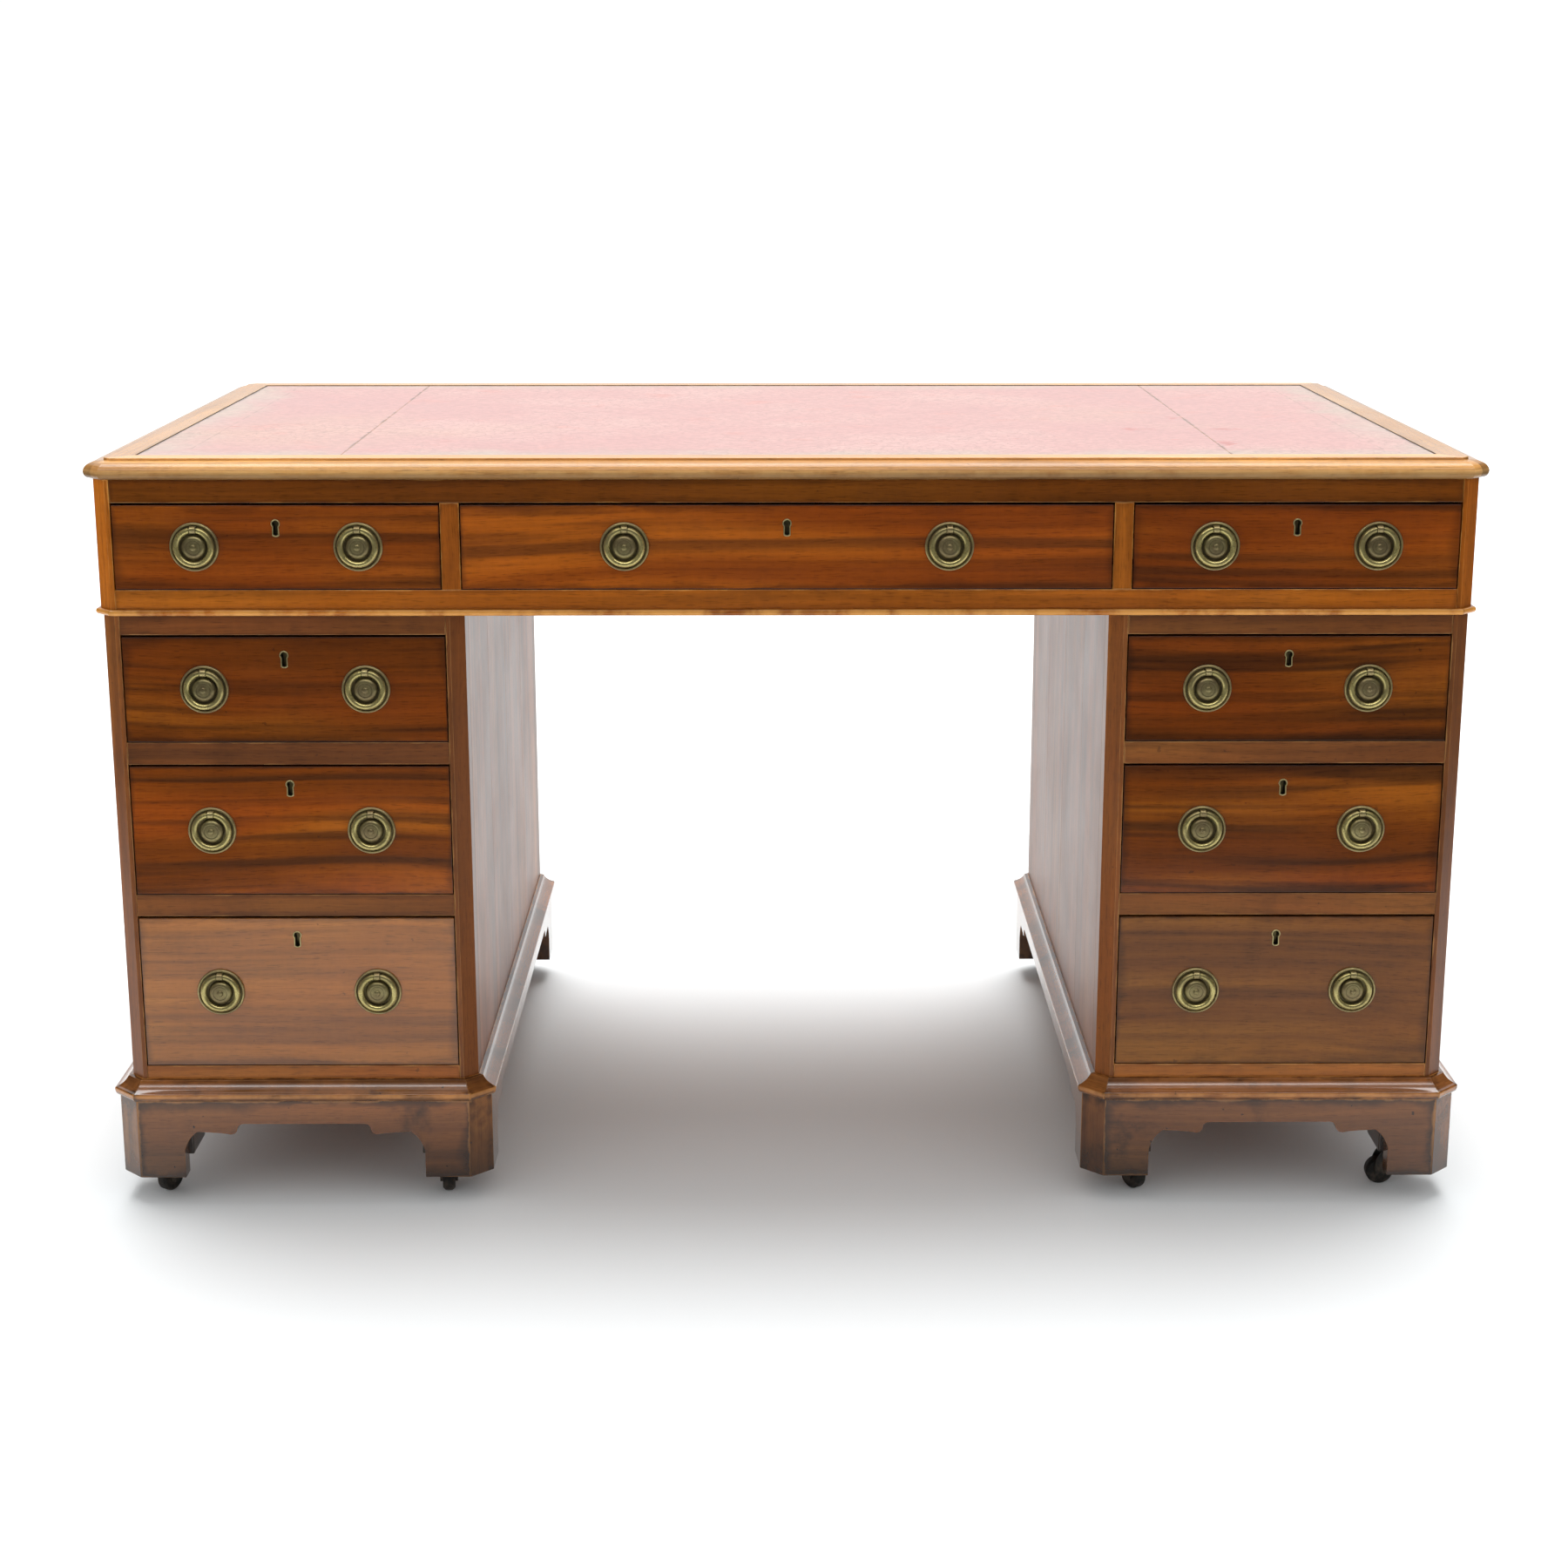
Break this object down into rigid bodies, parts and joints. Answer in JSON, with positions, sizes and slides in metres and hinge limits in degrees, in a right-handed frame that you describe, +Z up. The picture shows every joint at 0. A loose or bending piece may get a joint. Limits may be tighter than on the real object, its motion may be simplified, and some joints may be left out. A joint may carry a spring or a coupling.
{
  "type": "pedestal desk",
  "caption": "Mahogany twin-pedestal desk with a leather-lined moulded top, frieze drawers over graduated pedestal drawers, brass ring pulls and bracket plinths on hidden castors.",
  "frame": {"origin": "on the floor under the middle of the desk", "axes": "+X to the right of a person facing the drawers, +Y from the drawer fronts to the back, +Z up"},
  "size_m": [1.44, 0.833, 0.798],
  "materials": {
    "top_mahogany": "worn polish",
    "leather": "faded, gilt-tooled",
    "frieze_mahogany": "french polish",
    "pedestal_mahogany": "french polish",
    "plinth_mahogany": "worn polish",
    "drawer_mahogany": "french polish",
    "brass": "aged, patinated",
    "castor_iron": "dark, dusty",
    "castor_wheel": "dark, worn"
  },
  "bodies": {
    "desk": {"top_frame": "top_mahogany", "leather_top": "leather", "frieze_carcass": "frieze_mahogany", "left_pedestal_carcass": "pedestal_mahogany", "right_pedestal_carcass": "pedestal_mahogany", "left_plinth": "plinth_mahogany", "right_plinth": "plinth_mahogany", "castor_plates": "castor_iron"},
    "frieze_left_drawer": {"frieze_left_drawer": "drawer_mahogany", "frieze_left_drawer_fittings": "brass"},
    "frieze_left_drawer_left_ring": {"frieze_left_drawer_left_ring": "brass"},
    "frieze_left_drawer_right_ring": {"frieze_left_drawer_right_ring": "brass"},
    "frieze_centre_drawer": {"frieze_centre_drawer": "drawer_mahogany", "frieze_centre_drawer_fittings": "brass"},
    "frieze_centre_drawer_left_ring": {"frieze_centre_drawer_left_ring": "brass"},
    "frieze_centre_drawer_right_ring": {"frieze_centre_drawer_right_ring": "brass"},
    "frieze_right_drawer": {"frieze_right_drawer": "drawer_mahogany", "frieze_right_drawer_fittings": "brass"},
    "frieze_right_drawer_left_ring": {"frieze_right_drawer_left_ring": "brass"},
    "frieze_right_drawer_right_ring": {"frieze_right_drawer_right_ring": "brass"},
    "left_top_drawer": {"left_top_drawer": "drawer_mahogany", "left_top_drawer_fittings": "brass"},
    "left_top_drawer_left_ring": {"left_top_drawer_left_ring": "brass"},
    "left_top_drawer_right_ring": {"left_top_drawer_right_ring": "brass"},
    "left_middle_drawer": {"left_middle_drawer": "drawer_mahogany", "left_middle_drawer_fittings": "brass"},
    "left_middle_drawer_left_ring": {"left_middle_drawer_left_ring": "brass"},
    "left_middle_drawer_right_ring": {"left_middle_drawer_right_ring": "brass"},
    "left_bottom_drawer": {"left_bottom_drawer": "drawer_mahogany", "left_bottom_drawer_fittings": "brass"},
    "left_bottom_drawer_left_ring": {"left_bottom_drawer_left_ring": "brass"},
    "left_bottom_drawer_right_ring": {"left_bottom_drawer_right_ring": "brass"},
    "right_top_drawer": {"right_top_drawer": "drawer_mahogany", "right_top_drawer_fittings": "brass"},
    "right_top_drawer_left_ring": {"right_top_drawer_left_ring": "brass"},
    "right_top_drawer_right_ring": {"right_top_drawer_right_ring": "brass"},
    "right_middle_drawer": {"right_middle_drawer": "drawer_mahogany", "right_middle_drawer_fittings": "brass"},
    "right_middle_drawer_left_ring": {"right_middle_drawer_left_ring": "brass"},
    "right_middle_drawer_right_ring": {"right_middle_drawer_right_ring": "brass"},
    "right_bottom_drawer": {"right_bottom_drawer": "drawer_mahogany", "right_bottom_drawer_fittings": "brass"},
    "right_bottom_drawer_left_ring": {"right_bottom_drawer_left_ring": "brass"},
    "right_bottom_drawer_right_ring": {"right_bottom_drawer_right_ring": "brass"},
    "left_front_outer_castor_horn": {"left_front_outer_castor_horn": "castor_iron"},
    "left_front_outer_castor_wheel": {"left_front_outer_castor_wheel": "castor_wheel"},
    "left_front_inner_castor_horn": {"left_front_inner_castor_horn": "castor_iron"},
    "left_front_inner_castor_wheel": {"left_front_inner_castor_wheel": "castor_wheel"},
    "left_back_outer_castor_horn": {"left_back_outer_castor_horn": "castor_iron"},
    "left_back_outer_castor_wheel": {"left_back_outer_castor_wheel": "castor_wheel"},
    "left_back_inner_castor_horn": {"left_back_inner_castor_horn": "castor_iron"},
    "left_back_inner_castor_wheel": {"left_back_inner_castor_wheel": "castor_wheel"},
    "right_front_inner_castor_horn": {"right_front_inner_castor_horn": "castor_iron"},
    "right_front_inner_castor_wheel": {"right_front_inner_castor_wheel": "castor_wheel"},
    "right_front_outer_castor_horn": {"right_front_outer_castor_horn": "castor_iron"},
    "right_front_outer_castor_wheel": {"right_front_outer_castor_wheel": "castor_wheel"},
    "right_back_inner_castor_horn": {"right_back_inner_castor_horn": "castor_iron"},
    "right_back_inner_castor_wheel": {"right_back_inner_castor_wheel": "castor_wheel"},
    "right_back_outer_castor_horn": {"right_back_outer_castor_horn": "castor_iron"},
    "right_back_outer_castor_wheel": {"right_back_outer_castor_wheel": "castor_wheel"}
  },
  "joints": [
    {"name": "frieze_left_drawer_slide", "type": "slide", "parent": "desk", "child": "frieze_left_drawer", "axis": [0, -1, 0], "range_m": [0, 0.45]},
    {"name": "frieze_centre_drawer_slide", "type": "slide", "parent": "desk", "child": "frieze_centre_drawer", "axis": [0, -1, 0], "range_m": [0, 0.45]},
    {"name": "frieze_right_drawer_slide", "type": "slide", "parent": "desk", "child": "frieze_right_drawer", "axis": [0, -1, 0], "range_m": [0, 0.45]},
    {"name": "left_top_drawer_slide", "type": "slide", "parent": "desk", "child": "left_top_drawer", "axis": [0, -1, 0], "range_m": [0, 0.45]},
    {"name": "left_middle_drawer_slide", "type": "slide", "parent": "desk", "child": "left_middle_drawer", "axis": [0, -1, 0], "range_m": [0, 0.45]},
    {"name": "left_bottom_drawer_slide", "type": "slide", "parent": "desk", "child": "left_bottom_drawer", "axis": [0, -1, 0], "range_m": [0, 0.45]},
    {"name": "right_top_drawer_slide", "type": "slide", "parent": "desk", "child": "right_top_drawer", "axis": [0, -1, 0], "range_m": [0, 0.45]},
    {"name": "right_middle_drawer_slide", "type": "slide", "parent": "desk", "child": "right_middle_drawer", "axis": [0, -1, 0], "range_m": [0, 0.45]},
    {"name": "right_bottom_drawer_slide", "type": "slide", "parent": "desk", "child": "right_bottom_drawer", "axis": [0, -1, 0], "range_m": [0, 0.45]},
    {"name": "frieze_left_drawer_left_ring_swing", "type": "hinge", "parent": "frieze_left_drawer", "child": "frieze_left_drawer_left_ring", "pos_m": [-0.601, -0.4042, 0.7273], "axis": [-1, 0, 0], "range_deg": [0, 130]},
    {"name": "frieze_left_drawer_right_ring_swing", "type": "hinge", "parent": "frieze_left_drawer", "child": "frieze_left_drawer_right_ring", "pos_m": [-0.435, -0.4042, 0.7273], "axis": [-1, 0, 0], "range_deg": [0, 130]},
    {"name": "frieze_centre_drawer_left_ring_swing", "type": "hinge", "parent": "frieze_centre_drawer", "child": "frieze_centre_drawer_left_ring", "pos_m": [-0.165, -0.4042, 0.7273], "axis": [-1, 0, 0], "range_deg": [0, 130]},
    {"name": "frieze_centre_drawer_right_ring_swing", "type": "hinge", "parent": "frieze_centre_drawer", "child": "frieze_centre_drawer_right_ring", "pos_m": [0.165, -0.4042, 0.7273], "axis": [-1, 0, 0], "range_deg": [0, 130]},
    {"name": "frieze_right_drawer_left_ring_swing", "type": "hinge", "parent": "frieze_right_drawer", "child": "frieze_right_drawer_left_ring", "pos_m": [0.435, -0.4042, 0.7273], "axis": [-1, 0, 0], "range_deg": [0, 130]},
    {"name": "frieze_right_drawer_right_ring_swing", "type": "hinge", "parent": "frieze_right_drawer", "child": "frieze_right_drawer_right_ring", "pos_m": [0.601, -0.4042, 0.7273], "axis": [-1, 0, 0], "range_deg": [0, 130]},
    {"name": "left_top_drawer_left_ring_swing", "type": "hinge", "parent": "left_top_drawer", "child": "left_top_drawer_left_ring", "pos_m": [-0.599, -0.4022, 0.5793], "axis": [-1, 0, 0], "range_deg": [0, 130]},
    {"name": "left_top_drawer_right_ring_swing", "type": "hinge", "parent": "left_top_drawer", "child": "left_top_drawer_right_ring", "pos_m": [-0.433, -0.4022, 0.5793], "axis": [-1, 0, 0], "range_deg": [0, 130]},
    {"name": "left_middle_drawer_left_ring_swing", "type": "hinge", "parent": "left_middle_drawer", "child": "left_middle_drawer_left_ring", "pos_m": [-0.599, -0.4022, 0.42905], "axis": [-1, 0, 0], "range_deg": [0, 130]},
    {"name": "left_middle_drawer_right_ring_swing", "type": "hinge", "parent": "left_middle_drawer", "child": "left_middle_drawer_right_ring", "pos_m": [-0.433, -0.4022, 0.42905], "axis": [-1, 0, 0], "range_deg": [0, 130]},
    {"name": "left_bottom_drawer_left_ring_swing", "type": "hinge", "parent": "left_bottom_drawer", "child": "left_bottom_drawer_left_ring", "pos_m": [-0.599, -0.4022, 0.25205], "axis": [-1, 0, 0], "range_deg": [0, 130]},
    {"name": "left_bottom_drawer_right_ring_swing", "type": "hinge", "parent": "left_bottom_drawer", "child": "left_bottom_drawer_right_ring", "pos_m": [-0.433, -0.4022, 0.25205], "axis": [-1, 0, 0], "range_deg": [0, 130]},
    {"name": "right_top_drawer_left_ring_swing", "type": "hinge", "parent": "right_top_drawer", "child": "right_top_drawer_left_ring", "pos_m": [0.433, -0.4022, 0.5793], "axis": [-1, 0, 0], "range_deg": [0, 130]},
    {"name": "right_top_drawer_right_ring_swing", "type": "hinge", "parent": "right_top_drawer", "child": "right_top_drawer_right_ring", "pos_m": [0.599, -0.4022, 0.5793], "axis": [-1, 0, 0], "range_deg": [0, 130]},
    {"name": "right_middle_drawer_left_ring_swing", "type": "hinge", "parent": "right_middle_drawer", "child": "right_middle_drawer_left_ring", "pos_m": [0.433, -0.4022, 0.42905], "axis": [-1, 0, 0], "range_deg": [0, 130]},
    {"name": "right_middle_drawer_right_ring_swing", "type": "hinge", "parent": "right_middle_drawer", "child": "right_middle_drawer_right_ring", "pos_m": [0.599, -0.4022, 0.42905], "axis": [-1, 0, 0], "range_deg": [0, 130]},
    {"name": "right_bottom_drawer_left_ring_swing", "type": "hinge", "parent": "right_bottom_drawer", "child": "right_bottom_drawer_left_ring", "pos_m": [0.433, -0.4022, 0.25205], "axis": [-1, 0, 0], "range_deg": [0, 130]},
    {"name": "right_bottom_drawer_right_ring_swing", "type": "hinge", "parent": "right_bottom_drawer", "child": "right_bottom_drawer_right_ring", "pos_m": [0.599, -0.4022, 0.25205], "axis": [-1, 0, 0], "range_deg": [0, 130]},
    {"name": "left_front_outer_castor_swivel", "type": "hinge", "parent": "desk", "child": "left_front_outer_castor_horn", "pos_m": [-0.663, -0.3595, 0.048], "axis": [0, 0, 1], "continuous": true},
    {"name": "left_front_inner_castor_swivel", "type": "hinge", "parent": "desk", "child": "left_front_inner_castor_horn", "pos_m": [-0.369, -0.3595, 0.048], "axis": [0, 0, 1], "continuous": true},
    {"name": "left_back_outer_castor_swivel", "type": "hinge", "parent": "desk", "child": "left_back_outer_castor_horn", "pos_m": [-0.663, 0.3595, 0.048], "axis": [0, 0, 1], "continuous": true},
    {"name": "left_back_inner_castor_swivel", "type": "hinge", "parent": "desk", "child": "left_back_inner_castor_horn", "pos_m": [-0.369, 0.3595, 0.048], "axis": [0, 0, 1], "continuous": true},
    {"name": "right_front_inner_castor_swivel", "type": "hinge", "parent": "desk", "child": "right_front_inner_castor_horn", "pos_m": [0.369, -0.3595, 0.048], "axis": [0, 0, 1], "continuous": true},
    {"name": "right_front_outer_castor_swivel", "type": "hinge", "parent": "desk", "child": "right_front_outer_castor_horn", "pos_m": [0.663, -0.3595, 0.048], "axis": [0, 0, 1], "continuous": true},
    {"name": "right_back_inner_castor_swivel", "type": "hinge", "parent": "desk", "child": "right_back_inner_castor_horn", "pos_m": [0.369, 0.3595, 0.048], "axis": [0, 0, 1], "continuous": true},
    {"name": "right_back_outer_castor_swivel", "type": "hinge", "parent": "desk", "child": "right_back_outer_castor_horn", "pos_m": [0.663, 0.3595, 0.048], "axis": [0, 0, 1], "continuous": true},
    {"name": "left_front_outer_castor_roll", "type": "hinge", "parent": "left_front_outer_castor_horn", "child": "left_front_outer_castor_wheel", "pos_m": [-0.67095, -0.37222, 0.015], "axis": [0.848, -0.5299, 0], "continuous": true},
    {"name": "left_front_inner_castor_roll", "type": "hinge", "parent": "left_front_inner_castor_horn", "child": "left_front_inner_castor_wheel", "pos_m": [-0.36769, -0.37444, 0.015], "axis": [0.9962, 0.0872, 0], "continuous": true},
    {"name": "left_back_outer_castor_roll", "type": "hinge", "parent": "left_back_outer_castor_horn", "child": "left_back_outer_castor_wheel", "pos_m": [-0.67449, 0.36914, 0.015], "axis": [-0.6428, -0.766, 0], "continuous": true},
    {"name": "left_back_inner_castor_roll", "type": "hinge", "parent": "left_back_inner_castor_horn", "child": "left_back_inner_castor_wheel", "pos_m": [-0.35671, 0.3681, 0.015], "axis": [-0.5736, 0.8192, 0], "continuous": true},
    {"name": "right_front_inner_castor_roll", "type": "hinge", "parent": "right_front_inner_castor_horn", "child": "right_front_inner_castor_wheel", "pos_m": [0.3776, -0.37179, 0.015], "axis": [0.8192, 0.5736, 0], "continuous": true},
    {"name": "right_front_outer_castor_roll", "type": "hinge", "parent": "right_front_outer_castor_horn", "child": "right_front_outer_castor_wheel", "pos_m": [0.648, -0.3595, 0.015], "axis": [0, -1, 0], "continuous": true},
    {"name": "right_back_inner_castor_roll", "type": "hinge", "parent": "right_back_inner_castor_horn", "child": "right_back_inner_castor_wheel", "pos_m": [0.36387, 0.3736, 0.015], "axis": [-0.9397, -0.342, 0], "continuous": true},
    {"name": "right_back_outer_castor_roll", "type": "hinge", "parent": "right_back_outer_castor_horn", "child": "right_back_outer_castor_wheel", "pos_m": [0.6771, 0.36463, 0.015], "axis": [-0.342, 0.9397, 0], "continuous": true}
  ]
}
